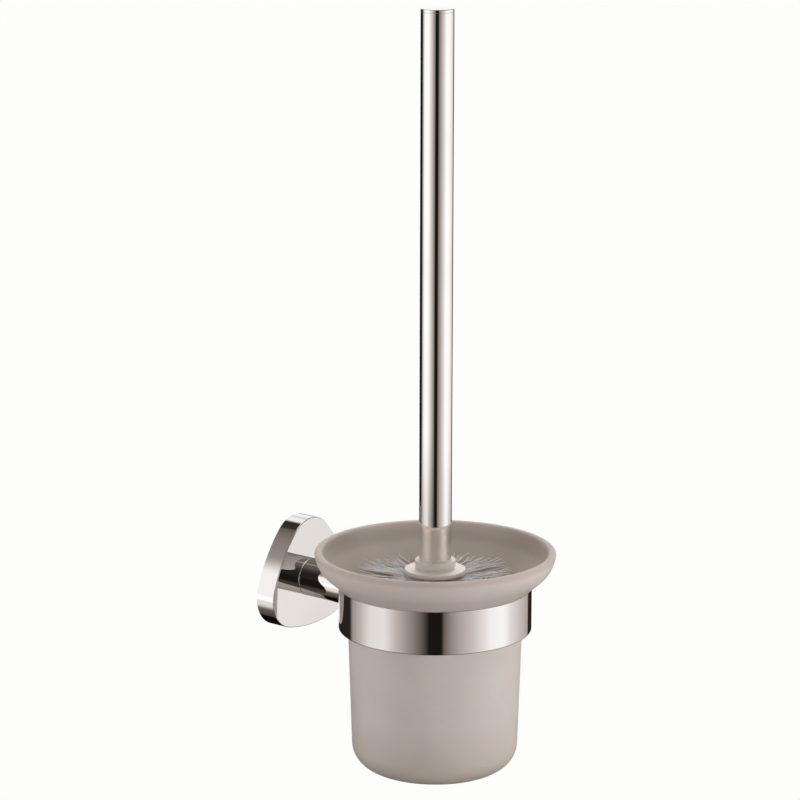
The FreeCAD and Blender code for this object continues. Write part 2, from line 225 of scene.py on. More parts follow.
def make_camera():
    """Camera that looks at the cup's rim from the front left, turned a little off it."""
    aim = CUP_AXIS + Vector((0, 0, rim_top))
    place = aim + towards(CAMERA_AZIMUTH, CAMERA_ELEVATION) * CAMERA_DISTANCE
    azimuth = CAMERA_AZIMUTH + AIM_YAW
    back = towards(azimuth, CAMERA_ELEVATION + AIM_PITCH)
    level_right = Vector((math.cos(azimuth), math.sin(azimuth), 0))
    level_up = back.cross(level_right)
    right = level_right * math.cos(AIM_ROLL) + level_up * math.sin(AIM_ROLL)
    up = level_up * math.cos(AIM_ROLL) - level_right * math.sin(AIM_ROLL)
    data = bpy.data.cameras.new("camera")
    data.lens = LENS_MM
    data.sensor_width = SENSOR_MM
    camera = bpy.data.objects.new("camera", data)
    bpy.context.scene.collection.objects.link(camera)
    facing = Matrix((right, up, back)).transposed().to_4x4()
    camera.matrix_world = Matrix.Translation(place) @ facing
    bpy.context.scene.camera = camera


# ---- outlines and turned meshes ----
def rounded_outline(corners, steps=CORNER_STEPS):
    """Points of a counterclockwise outline, with its (radius, height, rounding) corners as arcs."""
    points = []
    count = len(corners)
    for i, (r, z, rounding) in enumerate(corners):
        corner = np.array((r, z))
        before = np.array(corners[i - 1][:2]) - corner
        after = np.array(corners[(i + 1) % count][:2]) - corner
        if not rounding:
            points.append((r, z))
            continue
        a = before / np.linalg.norm(before)
        b = after / np.linalg.norm(after)
        half = math.acos(np.clip(a @ b, -1, 1)) / 2
        centre = corner + (a + b) / np.linalg.norm(a + b) * rounding / math.sin(half)
        start = corner + a * rounding / math.tan(half) - centre
        sweep = math.pi - 2 * half
        turn = 1 if a[1] * b[0] - a[0] * b[1] > 0 else -1
        arc_steps = max(FEWEST_STEPS, round(steps * sweep * 2 / math.pi))
        for k in range(arc_steps + 1):
            angle = turn * sweep * k / arc_steps
            cos, sin = math.cos(angle), math.sin(angle)
            spoke = (start[0] * cos - start[1] * sin, start[0] * sin + start[1] * cos)
            points.append(tuple(centre + spoke))
    return points


def new_piece(name, vertices, faces):
    """Object with a mesh, in the scene."""
    mesh = bpy.data.meshes.new(name)
    mesh.from_pydata([tuple(v) for v in vertices], [], faces)
    mesh.validate()
    piece = bpy.data.objects.new(name, mesh)
    bpy.context.scene.collection.objects.link(piece)
    return piece


def lathe(name, outline, place, segments):
    """Closed mesh from turning an outline; place(radius, angle, height) gives each point."""
    vertices = []
    loops = []
    for r, z in outline:
        if r < TINY:
            loops.append([len(vertices)])
            vertices.append(place(0, 0, z))
        else:
            loops.append(list(range(len(vertices), len(vertices) + segments)))
            vertices += [place(r, 2 * math.pi * k / segments, z) for k in range(segments)]
    faces = []
    for i, upper in enumerate(loops):
        lower = loops[i - 1]
        for k in range(segments):
            k2 = (k + 1) % segments
            if len(lower) == 1 and len(upper) == 1:
                break
            if len(lower) == 1:
                faces.append((lower[0], upper[k2], upper[k]))
            elif len(upper) == 1:
                faces.append((lower[k], lower[k2], upper[0]))
            else:
                faces.append((lower[k], lower[k2], upper[k2], upper[k]))
    return new_piece(name, vertices, faces)


def round_cup(radius, angle, height):
    """Place of a point turned about the cup's axis."""
    return (radius * math.cos(angle), axis_y + radius * math.sin(angle), height)


def round_arm(radius, angle, distance):
    """Place of a point turned about the arm's axis, at a distance from the wall."""
    return (radius * math.cos(angle), -distance, radius * math.sin(angle))


def outward(piece):
    """Turn every face of a closed mesh outwards."""
    mesh = bmesh.new()
    mesh.from_mesh(piece.data)
    bmesh.ops.recalc_face_normals(mesh, faces=mesh.faces)
    mesh.to_mesh(piece.data)
    mesh.free()


def carve(piece, *cutters):
    """Cut closed meshes out of a piece."""
    for cutter in cutters:
        outward(cutter)
        cut = piece.modifiers.new("cut", "BOOLEAN")
        cut.object = cutter
        cut.operation = "DIFFERENCE"
        cut.solver = "EXACT"
    graph = bpy.context.evaluated_depsgraph_get()
    carved = bpy.data.meshes.new_from_object(piece.evaluated_get(graph))
    piece.modifiers.clear()
    piece.data = carved
    for cutter in cutters:
        bpy.data.objects.remove(cutter)


def finish_piece(piece, body, slot, material, *nodes):
    """Smooth a piece, give it its material and put it in the place of its CAD nodes."""
    outward(piece)
    piece.data.shade_smooth()
    piece.data.set_sharp_from_angle(angle=SHARP_ANGLE)
    weighted = piece.modifiers.new("even_normals", "WEIGHTED_NORMAL")
    weighted.keep_sharp = True
    piece.data.materials.clear()
    piece.data.materials.append(material)
    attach(piece, body)
    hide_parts(*nodes)
    return piece


# ---- material nodes ----
class Finish:
    """A material with a principled shader and the nodes that vary it."""

    def __init__(self, name, **values):
        self.material = bpy.data.materials.new(name)
        self.material.use_nodes = True
        self.tree = self.material.node_tree
        self.shader = self.tree.nodes["Principled BSDF"]
        for socket, value in values.items():
            self.shader.inputs[socket.replace("_", " ")].default_value = value
        self.place = self.new("ShaderNodeTexCoord").outputs["Object"]

    def new(self, kind):
        """Node of a kind."""
        return self.tree.nodes.new(kind)

    def link(self, source, target):
        """Join an output to an input."""
        self.tree.links.new(source, target)

    def noise(self, per_metre, detail=3, stretch=(1, 1, 1)):
        """Noise with a number of features per metre, stretched along the axes."""
        mapping = self.new("ShaderNodeMapping")
        mapping.inputs["Scale"].default_value = stretch
        texture = self.new("ShaderNodeTexNoise")
        texture.inputs["Scale"].default_value = per_metre
        texture.inputs["Detail"].default_value = detail
        self.link(self.place, mapping.inputs["Vector"])
        self.link(mapping.outputs["Vector"], texture.inputs["Vector"])
        return texture.outputs["Fac"]

    def spread(self, source, low, high, source_low=PATTERN_LOW, source_high=PATTERN_HIGH):
        """A 0..1 pattern mapped to a range of values."""
        span = self.new("ShaderNodeMapRange")
        for socket, value in zip(span.inputs[1:5], (source_low, source_high, low, high)):
            socket.default_value = value
        self.link(source, span.inputs[0])
        return span.outputs[0]

    def add(self, a, b):
        """Sum of two values."""
        total = self.new("ShaderNodeMath")
        total.operation = "ADD"
        self.link(a, total.inputs[0])
        self.link(b, total.inputs[1])
        return total.outputs[0]

    def tint(self, pattern, first, second):
        """Base colour that drifts between two colours."""
        ramp = self.new("ShaderNodeValToRGB")
        stops = zip(ramp.color_ramp.elements, (PATTERN_LOW, PATTERN_HIGH), (first, second))
        for element, position, colour in stops:
            element.position = position
            element.color = (*colour, 1)
        self.link(pattern, ramp.inputs["Fac"])
        self.link(ramp.outputs["Color"], self.shader.inputs["Base Color"])

    def shade(self, share, colour):
        """Painted shade: multiply the base colour by a colour where a share is 1, and leave it
        where it is 0.
        """
        product = self.new("ShaderNodeMix")
        product.data_type = "RGBA"
        product.blend_type = "MULTIPLY"
        base = self.shader.inputs["Base Color"]
        self.link(share, product.inputs["Factor"])
        self.link(base.links[0].from_socket, product.inputs[6])
        product.inputs[7].default_value = (*colour, 1)
        self.link(product.outputs[2], base)

    def rough(self, value):
        """Roughness from a value."""
        self.link(value, self.shader.inputs["Roughness"])

    def bump(self, height, strength, depth):
        """Fine relief from a 0..1 pattern."""
        bump = self.new("ShaderNodeBump")
        bump.inputs["Strength"].default_value = strength
        bump.inputs["Distance"].default_value = depth
        self.link(height, bump.inputs["Height"])
        self.link(bump.outputs["Normal"], self.shader.inputs["Normal"])


def make_chrome():
    """Bright plating with dried water marks, wipe scratches and the faintest orange peel."""
    finish = Finish("polished_chrome", Metallic=1.0)
    smears = finish.noise(per_metre=38, detail=4)
    scratches = finish.noise(per_metre=260, detail=2, stretch=(1, 1, 0.04))
    finish.rough(finish.add(
        finish.spread(smears, low=0.012, high=0.045),
        finish.spread(scratches, low=0, high=0.02, source_low=0.6, source_high=0.75),
    ))
    finish.tint(finish.noise(per_metre=22), *CHROME_TINTS)
    finish.bump(finish.noise(per_metre=900, detail=1), strength=0.02, depth=0.02 * MM)
    return finish.material


def make_steel(name, tints, roughness):
    """Turned or pressed metal with a fine grain."""
    finish = Finish(name, Metallic=1.0)
    grain = finish.noise(per_metre=900, detail=3, stretch=(1, 0.15, 1))
    finish.rough(finish.spread(grain, low=roughness - 0.07, high=roughness + 0.1))
    finish.tint(finish.noise(per_metre=120, detail=4), *tints)
    finish.bump(grain, strength=0.15, depth=0.05 * MM)
    return finish.material


def make_frosted_glass():
    """Acid-frosted glass: milky, finely toothed, slowly clouded, with painted shade that darkens it
    at the base and inside.
    """
    finish = Finish("frosted_glass", IOR=1.5, Transmission_Weight=0.30, Subsurface_Weight=0.25,
                    Subsurface_Scale=0.004)
    clouds = finish.noise(per_metre=30, detail=5)
    tooth = finish.noise(per_metre=2600, detail=2)
    finish.rough(finish.spread(clouds, low=0.42, high=0.54))
    finish.tint(clouds, *GLASS_TINTS)
    # painted shade: the glass grows darker towards the cup's base
    place = finish.new("ShaderNodeSeparateXYZ")
    finish.link(finish.place, place.inputs[0])
    painted_base_shade = finish.spread(place.outputs["Z"], low=1, high=0,
                              source_low=cup_bottom + BASE_PAINTED_SHADE_HEIGHTS[0],
                              source_high=cup_bottom + BASE_PAINTED_SHADE_HEIGHTS[1])
    finish.shade(painted_base_shade, GLASS_BASE_PAINTED_SHADE)
    # painted shade inside the bowl and on its lip, by each point's share in the mesh's inside
    # attribute
    inside = finish.new("ShaderNodeAttribute")
    inside.attribute_name = "inside"
    finish.shade(inside.outputs["Fac"], GLASS_INSIDE_PAINTED_SHADE)
    finish.bump(tooth, strength=0.25, depth=0.03 * MM)
    return finish.material


def make_plastic():
    """White moulded plastic, yellowed a little, with a soft moulded texture."""
    finish = Finish("white_plastic", Subsurface_Weight=0.12, Subsurface_Scale=0.002)
    finish.rough(finish.spread(finish.noise(per_metre=140, detail=3), low=0.26, high=0.42))
    finish.tint(finish.noise(per_metre=60, detail=3), *PLASTIC_TINTS)
    finish.bump(finish.noise(per_metre=1400, detail=2), strength=0.1, depth=0.03 * MM)
    return finish.material


def make_nylon():
    """White nylon strands, each a little different."""
    finish = Finish("nylon_bristle", Subsurface_Weight=0.1, Subsurface_Scale=0.001)
    shade = finish.new("ShaderNodeAttribute")
    shade.attribute_name = "strand_shade"
    finish.tint(shade.outputs["Fac"], *NYLON_TINTS)
    finish.rough(finish.spread(finish.noise(per_metre=700, detail=2), low=0.3, high=0.45))
    finish.bump(finish.noise(per_metre=3000, detail=1), strength=0.08, depth=0.01 * MM)
    return finish.material


def make_silicone():
    """Clear silicone of the gasket."""
    finish = Finish("clear_gasket", IOR=1.41, Transmission_Weight=0.55)
    finish.tint(finish.noise(per_metre=90), *SILICONE_TINTS)
    finish.rough(finish.spread(finish.noise(per_metre=200), low=0.2, high=0.35))
    finish.bump(finish.noise(per_metre=900), strength=0.1, depth=0.02 * MM)
    return finish.material


# ---- wall plate ----
def plate_outline(inset):
    """The plate's outline as (x, z): three round corners, one of them up, and three bowed sides."""
    offset = PLATE_CORNER_OFFSET
    bow = PLATE_SIDE_RADIUS - PLATE_CORNER_RADIUS
    side_offset = (math.sqrt(4 * bow ** 2 - 3 * offset ** 2) - offset) / 2
    points = []
    for i in range(3):
        corner_angle = math.radians(90 + 120 * i)
        corner = Vector((math.cos(corner_angle), math.sin(corner_angle))) * offset
        side_angle = corner_angle + math.radians(60)
        side_centre = Vector((math.cos(side_angle), math.sin(side_angle))) * -side_offset
        next_angle = corner_angle + math.radians(120)
        next_corner = Vector((math.cos(next_angle), math.sin(next_angle))) * offset
        towards_join = (corner - side_centre).normalized()
        half = math.atan2(towards_join.y, towards_join.x) - corner_angle
        half = (half + math.pi) % (2 * math.pi) - math.pi
        for k in range(PLATE_ARC_STEPS):
            angle = corner_angle - half + 2 * half * k / PLATE_ARC_STEPS
            way = Vector((math.cos(angle), math.sin(angle)))
            points.append(corner + way * (PLATE_CORNER_RADIUS - inset))
        start = towards_join
        end = (next_corner - side_centre).normalized()
        for k in range(PLATE_ARC_STEPS):
            way = start.slerp(end, k / PLATE_ARC_STEPS)
            points.append(side_centre + way * (PLATE_SIDE_RADIUS - inset))
    return points


def make_wall_plate(material):
    """Hollow plate with rounded edges, and a hole for the post."""
    edge = [(PLATE_EDGE * (1 - math.sin(t)), PLATE_EDGE * (1 - math.cos(t)))
            for t in QUARTER_TURN]
    inner_depth = plate_depth - PLATE_FRONT
    sections = [(MICRO_EDGE, 0), (0, MICRO_EDGE)]
    sections += [(inset, plate_depth - depth) for inset, depth in reversed(edge)]
    loops = [[(p.x, -depth, p.y) for p in plate_outline(inset)] for inset, depth in sections]
    angles = [math.atan2(p.y, p.x) for p in plate_outline(0)]
    for depth in (plate_depth, inner_depth):
        loops.append([(POST_BORE * math.cos(a), -depth, POST_BORE * math.sin(a)) for a in angles])
    for depth in (inner_depth, 0):
        loops.append([(p.x, -depth, p.y) for p in plate_outline(PLATE_WALL)])
    count = len(loops[0])
    faces = []
    for i in range(len(loops)):
        for k in range(count):
            k2 = (k + 1) % count
            j = (i - 1) % len(loops)
            faces.append((j * count + k, j * count + k2, i * count + k2, i * count + k))
    piece = new_piece("wall_plate_shell", [v for loop in loops for v in loop], faces)
    return finish_piece(piece, "wall_mount", "polished_chrome", material, "wall_plate")


# ---- arm and ring ----
def make_arm(material):
    """Round bar, hollow for the post, whose far end is shaped to the ring."""
    far = -arm_low.y
    reach = -axis_y
    thread_end = reach - ring_radius - SCREW_THREAD_LENGTH

    def place(radius, angle, distance):
        if distance > far - TINY:
            x = radius * math.cos(angle)
            distance = reach - math.sqrt(ring_radius ** 2 - x ** 2)
        return round_arm(radius, angle, distance)

    edge = [(arm_radius - ARM_EDGE * (1 - math.sin(t)), plate_depth + ARM_EDGE * (1 - math.cos(t)))
            for t in QUARTER_TURN]
    outline = [
        (0, POST_BORE_END), (POST_BORE, POST_BORE_END), (POST_BORE, plate_depth), *edge,
        (arm_radius, far), *[(arm_radius * share, far) for share in ARM_END_RINGS],
        (SCREW_BORE, far), (SCREW_BORE, thread_end), (0, thread_end),
    ]
    piece = lathe("arm_bar", outline, place, BAR_SEGMENTS)
    outward(piece)
    grub_y = (grub_low.y + grub_high.y) / 2

    def round_grub(radius, angle, height):
        return (radius * math.cos(angle), grub_y + radius * math.sin(angle), height)

    hole_low = -arm_radius - GRUB_HOLE_MARGIN
    hole_high = -POST_BORE * GRUB_HOLE_REACH
    hole = lathe("grub_hole", [
        (0, hole_low), (SCREW_BORE, hole_low), (SCREW_BORE, hole_high), (0, hole_high),
    ], round_grub, GRUB_HOLE_SEGMENTS)
    carve(piece, hole)
    return finish_piece(piece, "wall_mount", "polished_chrome", material, "arm")


def glass_underside(radius):
    """Height of the bowl's sloping underside at a radius."""
    return neck_z + (radius - CUP_NECK_RADIUS) * math.tan(BOWL_SLOPE)


def make_ring(material):
    """Polished band with a sloping seat for the gasket, and the screw's countersunk hole."""
    inner = ring_radius - RING_WALL
    lip = ring_radius - RING_LIP
    seat_drop = GASKET_STACK / math.cos(BOWL_SLOPE)
    outline = rounded_outline([
        (inner, ring_bottom, MICRO_EDGE),
        (ring_radius, ring_bottom, RING_EDGE),
        (ring_radius, ring_top, MICRO_EDGE),
        (lip, glass_underside(lip) - CUP_RING_GAP, MICRO_EDGE),
        (lip, glass_underside(lip) - seat_drop, 0),
        (inner, glass_underside(inner) - seat_drop - SEAT_RELIEF, 0),
    ])
    piece = lathe("ring_band", outline, round_cup, RING_SEGMENTS)
    outward(piece)
    head = -screw_low.y
    hole = lathe("ring_screw_hole", [
        (0, head - SCREW_HOLE_DEPTH), (SCREW_BORE, head - SCREW_HOLE_DEPTH),
        (SCREW_BORE, head - SCREW_HEAD_HEIGHT), (SCREW_HEAD_RADIUS, head),
        (SCREW_HEAD_RADIUS, head + SCREW_HOLE_MARGIN), (0, head + SCREW_HOLE_MARGIN),
    ], round_arm, SCREW_HOLE_SEGMENTS)
    carve(piece, hole)
    return finish_piece(piece, "wall_mount", "polished_chrome", material, "holder_ring")


# ---- glass cup ----
rim_overhang = rim_radius - CUP_NECK_RADIUS
bowl_corner_z = (rim_top - CUP_RIM_LAND
                 - CUP_BOWL_CORNER * math.tan((math.pi / 2 - BOWL_SLOPE) / 2))
neck_z = bowl_corner_z - rim_overhang * math.tan(BOWL_SLOPE)
body_taper = CUP_BODY_DRAFT / (neck_z - cup_bottom)


def inside_corner(point, way_a, thickness_a, way_b, thickness_b):
    """Where two walls' inner faces meet, from the corner where their outer faces meet."""
    normals = np.array(((-way_a[1], way_a[0]), (-way_b[1], way_b[0])))
    shift = np.linalg.solve(normals, (thickness_a, thickness_b))
    return point[0] + shift[0], point[1] + shift[1]


def make_cup(material):
    """Thick cup with a flared bowl on a straight neck."""
    tilt = math.atan(body_taper)
    along_body = (math.sin(tilt), math.cos(tilt))
    along_bowl = (math.cos(BOWL_SLOPE), math.sin(BOWL_SLOPE))
    base = (CUP_NECK_RADIUS - CUP_BODY_DRAFT, cup_bottom)
    neck = (CUP_NECK_RADIUS, neck_z)
    bowl = (rim_radius, bowl_corner_z)
    inner_base = inside_corner(base, (1, 0), CUP_FLOOR, along_body, CUP_WALL)
    inner_neck = inside_corner(neck, along_body, CUP_WALL, along_bowl, CUP_WALL)
    inner_bowl = inside_corner(bowl, along_bowl, CUP_WALL, (0, 1), CUP_WALL)
    outline = rounded_outline([
        (0, cup_bottom, 0),
        (*base, CUP_BASE_CORNER),
        (*neck, CUP_NECK_CORNER),
        (*bowl, CUP_BOWL_CORNER),
        (rim_radius, rim_top, 0),
        (rim_radius - CUP_WALL, rim_top, 0),
        (*inner_bowl, CUP_BOWL_CORNER - CUP_WALL),
        (*inner_neck, CUP_NECK_CORNER + CUP_WALL),
        (*inner_base, CUP_BASE_CORNER - CUP_WALL),
        (0, cup_bottom + CUP_FLOOR, 0),
    ], steps=CUP_CORNER_STEPS)
    outline = round_lip(outline)
    piece = lathe("cup_glass", outline, round_cup, CUP_SEGMENTS)
    lip = [i for i, p in enumerate(outline) if p[1] > rim_top - CUP_LIP_RADIUS - TINY]
    # each point's share of the painted shade: none outside, part on the lip, growing with depth
    # inside
    inside = []
    for i, (r, z) in enumerate(outline):
        share = 0 if i < lip[0] else LIP_PAINTED_SHADE
        if i > lip[-1]:
            share = min(1, LIP_PAINTED_SHADE + (rim_top - z) / INSIDE_PAINTED_SHADE_DEPTH)
        inside += [share] * (CUP_SEGMENTS if r > TINY else 1)
    piece.data.attributes.new("inside", "FLOAT", "POINT").data.foreach_set("value", inside)
    return finish_piece(piece, "cup", "frosted_glass", material, "glass_cup")


def round_lip(outline):
    """The cup's outline with both edges of its rim rounded."""
    inner_radius = rim_radius - CUP_WALL
    lip_low = rim_top - CUP_LIP_RADIUS
    kept = [p for p in outline if p[1] < lip_low or p[0] < inner_radius - CUP_LIP_MARGIN]
    first_inner = next(i for i, p in enumerate(kept) if i and kept[i - 1][0] - p[0] > CUP_WALL / 2)
    arc = []
    for centre_r, start in ((rim_radius - CUP_LIP_RADIUS, 0), (inner_radius + CUP_LIP_RADIUS, 90)):
        for k in range(CUP_LIP_STEPS + 1):
            angle = math.radians(start + 90 * k / CUP_LIP_STEPS)
            arc.append((centre_r + CUP_LIP_RADIUS * math.cos(angle),
                        lip_low + CUP_LIP_RADIUS * math.sin(angle)))
    return kept[:first_inner] + arc + kept[first_inner:]


# ---- brush ----
def make_tube(material):
    """Open chrome tube of the handle."""
    bore = tube_radius - TUBE_WALL
    outline = rounded_outline([
        (bore, tube_low.z, MICRO_EDGE),
        (tube_radius, tube_low.z, 2 * MICRO_EDGE),
        (tube_radius, tube_high.z, CAP_SEAM),
        (bore, tube_high.z, 0),
    ])
    piece = lathe("handle_tube_shell", outline, round_cup, BAR_SEGMENTS)
    return finish_piece(piece, "handle", "polished_chrome", material, "handle_tube")


def make_cap(material):
    """Disc on the tube, with a plug in it and a fine seam between."""
    plug = tube_radius - TUBE_WALL - CAP_PLUG_PLAY
    outline = rounded_outline([
        (0, cap_low.z, 0),
        (plug, cap_low.z, MICRO_EDGE),
        (plug, tube_high.z, 0),
        (tube_radius, tube_high.z, CAP_SEAM),
        (tube_radius, cap_high.z, CAP_EDGE),
        (0, cap_high.z, 0),
    ])
    piece = lathe("handle_cap_disc", outline, round_cup, BAR_SEGMENTS)
    return finish_piece(piece, "handle", "polished_chrome", material, "handle_cap")


def make_collar(material):
    """Moulded collar round the tube's foot."""
    bore = collar_radius - COLLAR_WALL
    outline = rounded_outline([
        (COLLAR_HOLE, collar_low.z, MICRO_EDGE),
        (collar_radius, collar_low.z, 2 * MICRO_EDGE),
        (collar_radius, collar_high.z, COLLAR_EDGE),
        (bore, collar_high.z, MICRO_EDGE),
        (bore, collar_low.z + COLLAR_FLOOR, MICRO_EDGE),
        (COLLAR_HOLE, collar_low.z + COLLAR_FLOOR, 0),
    ])
    piece = lathe("collar_moulding", outline, round_cup, MOULDING_SEGMENTS)
    return finish_piece(piece, "collar", "white_plastic", material, "head_collar")


def make_core(material):
    """Moulded core that holds the bristles, with its flange and neck."""
    flange_top = core_high.z - CORE_NECK_HEIGHT
    flange_bottom = flange_top - FLANGE_THICKNESS
    outline = rounded_outline([
        (0, core_low.z, 0),
        (CORE_RADIUS, core_low.z, CORE_END_EDGE),
        (CORE_RADIUS, flange_bottom, CORE_FILLET),
        (flange_radius, flange_bottom, FLANGE_EDGE),
        (flange_radius, flange_top, FLANGE_EDGE),
        (CORE_NECK_RADIUS, flange_top, CORE_NECK_FILLET),
        (CORE_NECK_RADIUS, core_high.z, 2 * MICRO_EDGE),
        (STUD_SOCKET, core_high.z, MICRO_EDGE),
        (STUD_SOCKET, stud_low.z, 0),
        (0, stud_low.z, 0),
    ])
    piece = lathe("core_moulding", outline, round_cup, MOULDING_SEGMENTS)
    return finish_piece(piece, "brush_head", "white_plastic", material, "brush_core")


# ---- bristles ----
def strand_mesh(name, paths, shades):
    """One mesh of thin closed tubes; paths is (strand, point, xyz)."""
    strands, points, _ = paths.shape
    along = np.gradient(paths, axis=1)
    along /= np.linalg.norm(along, axis=2, keepdims=True)
    side = np.cross(along, np.array(STRAND_REFERENCE))
    side /= np.linalg.norm(side, axis=2, keepdims=True)
    other = np.cross(along, side)
    angles = 2 * math.pi * np.arange(STRAND_SIDES) / STRAND_SIDES
    thickness = STRAND_RADIUS * np.linspace(1, STRAND_TIP, points)[None, :, None, None]
    ring = (side[:, :, None, :] * np.cos(angles)[None, None, :, None]
            + other[:, :, None, :] * np.sin(angles)[None, None, :, None])
    vertices = (paths[:, :, None, :] + ring * thickness).reshape(-1, 3)
    per_strand = points * STRAND_SIDES
    faces = []
    for s in range(strands):
        first = s * per_strand
        for p in range(points - 1):
            for k in range(STRAND_SIDES):
                k2 = (k + 1) % STRAND_SIDES
                a = first + p * STRAND_SIDES
                b = a + STRAND_SIDES
                faces.append((a + k, a + k2, b + k2, b + k))
        faces.append(tuple(first + k for k in reversed(range(STRAND_SIDES))))
        faces.append(tuple(first + per_strand - STRAND_SIDES + k for k in range(STRAND_SIDES)))
    piece = new_piece(name, vertices, faces)
    shade = piece.data.attributes.new("strand_shade", "FLOAT", "POINT")
    shade.data.foreach_set("value", np.repeat(shades, per_strand).astype(np.float32))
    return piece


def finish_bristles(piece, material, node):
    """Smooth a piece of strands and put it in the place of its CAD node."""
    piece.data.shade_smooth()
    piece.data.materials.append(material)
    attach(piece, "brush_head")
    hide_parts(node)
    return piece


def sway(random, t, amount):
    """Slow sideways waves of strands, none at the root and most at the tip."""
    phase = random.uniform(0, 2 * math.pi, (len(amount), 1))
    waves = random.uniform(*SWAY_WAVES, (len(amount), 1))
    return (np.sin(2 * math.pi * waves * t + phase) - np.sin(phase)) * amount[:, None] * t


def make_bristle_row(index, material):
    """A row of tufts punched into the core, which splay towards their tips."""
    node = f"bristle_row_{index + 1}"
    low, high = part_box(node)
    height = (low.z + high.z) / 2
    spread_up = (high.z - low.z) / 2
    tip = high.x
    random = np.random.default_rng(TUFT_SEED + index)
    top_row = index == 0
    per_tuft = TOP_STRANDS_PER_TUFT if top_row else STRANDS_PER_TUFT
    count = TUFTS_PER_ROW * per_tuft
    tuft = np.repeat(np.arange(TUFTS_PER_ROW), per_tuft)
    tuft_angle = 2 * math.pi * (tuft + ROW_TURN * (index % 2)) / TUFTS_PER_ROW
    tuft_angle = tuft_angle + np.repeat(
        random.normal(0, TUFT_TURN_SCATTER, TUFTS_PER_ROW), per_tuft)
    root_turn = random.uniform(0, 2 * math.pi, count)
    root_out = TUFT_ROOT_RADIUS * np.sqrt(random.uniform(0, 1, count))
    root_side = root_out * np.cos(root_turn)
    root_up = root_out * np.sin(root_turn)
    lean = random.normal(0, STRAND_LEAN, count) + root_side / TUFT_ROOT_RADIUS * TUFT_ROOT_LEAN
    rise = root_up / TUFT_ROOT_RADIUS * TUFT_ROOT_RISE + random.normal(0, RISE_SCATTER, count)
    rise = np.clip(rise, -1, 1) * spread_up
    if top_row:
        sideways_share = np.cos(tuft_angle - TOP_ROW_SPLAY) ** 2
        lift = sideways_share * TOP_ROW_LIFT - TOP_ROW_SAG
        rise = rise + lift * random.uniform(*TOP_ROW_SCATTER, count)
    scatter = TOP_LENGTH_SCATTER if top_row else LENGTH_SCATTER
    length = tip * (1 - np.abs(random.normal(0, scatter, count)).clip(0, MOST_SHORTENED))
    t = np.linspace(0, 1, STRAND_POINTS)[None, :]
    start = CORE_RADIUS - STRAND_ROOT_DEPTH
    radius = start + (length[:, None] - start) * t
    sideways = (root_side[:, None] * (1 - t) + np.tan(lean)[:, None] * (radius - start)
                + sway(random, t, random.normal(0, SIDE_SWAY, count)))
    upwards = (root_up[:, None] * (1 - t) + rise[:, None] * t ** RISE_CURVE
               + sway(random, t, random.normal(0, UP_SWAY, count)))
    if top_row:
        flange_bottom = core_high.z - CORE_NECK_HEIGHT - FLANGE_THICKNESS
        ceiling = flange_bottom - height - FLANGE_CLEARANCE
        under_flange = radius < flange_radius + FLANGE_MARGIN
        upwards = np.where(under_flange, np.minimum(upwards, ceiling), upwards)
    angle = tuft_angle[:, None]
    x = radius * np.cos(angle) - sideways * np.sin(angle)
    y = radius * np.sin(angle) + sideways * np.cos(angle)
    reach = np.hypot(x, y)
    shrink = np.minimum(1, (tip - STRAND_RADIUS) / np.maximum(reach, TINY))
    paths = np.stack((x * shrink, axis_y + y * shrink, height + upwards), axis=2)
    piece = strand_mesh(f"tufts_row_{index + 1}", paths, random.uniform(0, 1, count))
    return finish_bristles(piece, material, node)


def make_end_tuft(material):
    """Strands from the core's end that fan out over the cup's floor."""
    low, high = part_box("bristle_end_tuft")
    random = np.random.default_rng(TUFT_SEED + ROW_COUNT)
    share = np.sqrt(random.uniform(0, 1, END_STRANDS))
    angle = random.uniform(0, 2 * math.pi, END_STRANDS)
    t = np.linspace(0, 1, STRAND_POINTS)[None, :]
    root = share[:, None] * (CORE_RADIUS - END_ROOT_INSET)
    tip = share[:, None] * (high.x - END_TIP_INSET)
    radius = root + (tip - root) * t ** END_CURVE
    turn = angle[:, None] + sway(random, t, random.normal(0, END_SWAY, END_STRANDS))
    drop = (high.z - low.z) * (1 - random.uniform(0, END_SHORTENED, END_STRANDS))[:, None]
    z = high.z + STRAND_ROOT_DEPTH - (drop + END_EXTRA_DROP) * t
    paths = np.stack((radius * np.cos(turn), axis_y + radius * np.sin(turn), z), axis=2)
    piece = strand_mesh("tufts_end", paths, random.uniform(0, 1, END_STRANDS))
    return finish_bristles(piece, material, "bristle_end_tuft")


# ---- light, backdrop and floor ----
# The studio that the metal reflects, fixed in the world. Each table is one height of it, as
# (degrees to the right of CAMERA_AZIMUTH, brightness): white screens with black flags between them.
STUDIO_LOW = [
    (-180, 0.50), (-175, 0.40), (-172, 0.02), (-122, 0.02), (-115, 0.36), (-100, 0.54),
    (-83, 0.80), (-63, 0.83), (-47, 0.54), (-35, 0.37), (-23, 0.22), (-11, 0.06), (-7, 0.01),
    (8, 0.01), (11, 0.15), (19, 0.30), (31, 0.47), (44, 0.60), (57, 0.77), (70, 0.96), (88, 1.00),
    (95, 0.93), (101, 0.80), (126, 0.56), (142, 0.44), (145, 0.36), (147, 0.02), (174, 0.02),
    (178, 0.50),
]
STUDIO_MIDDLE = [
    (-180, 0.01), (-119, 0.01), (-114, 0.46), (-104, 0.60), (-98, 0.98), (-76, 1.10), (-58, 1.05),
    (-40, 0.70), (-26, 0.45), (-15, 0.22), (-10, 0.01), (8, 0.01), (12, 0.20), (27, 0.42),
    (48, 0.74), (68, 1.10), (96, 1.05), (120, 0.85), (138, 0.70), (144, 0.07), (180, 0.05),
]
STUDIO_RAISED = [
    (-180, 1.00), (-172, 1.00), (-164, 0.30), (-150, 0.60), (-130, 0.02), (-112, 0.02),
    (-100, 0.85), (-84, 0.98), (-60, 0.90), (-36, 0.40), (-10, 0.10), (0, 0.02), (10, 0.02),
    (30, 0.16), (60, 0.20), (100, 0.20), (150, 0.26), (164, 0.30), (172, 1.00), (180, 1.00),
]
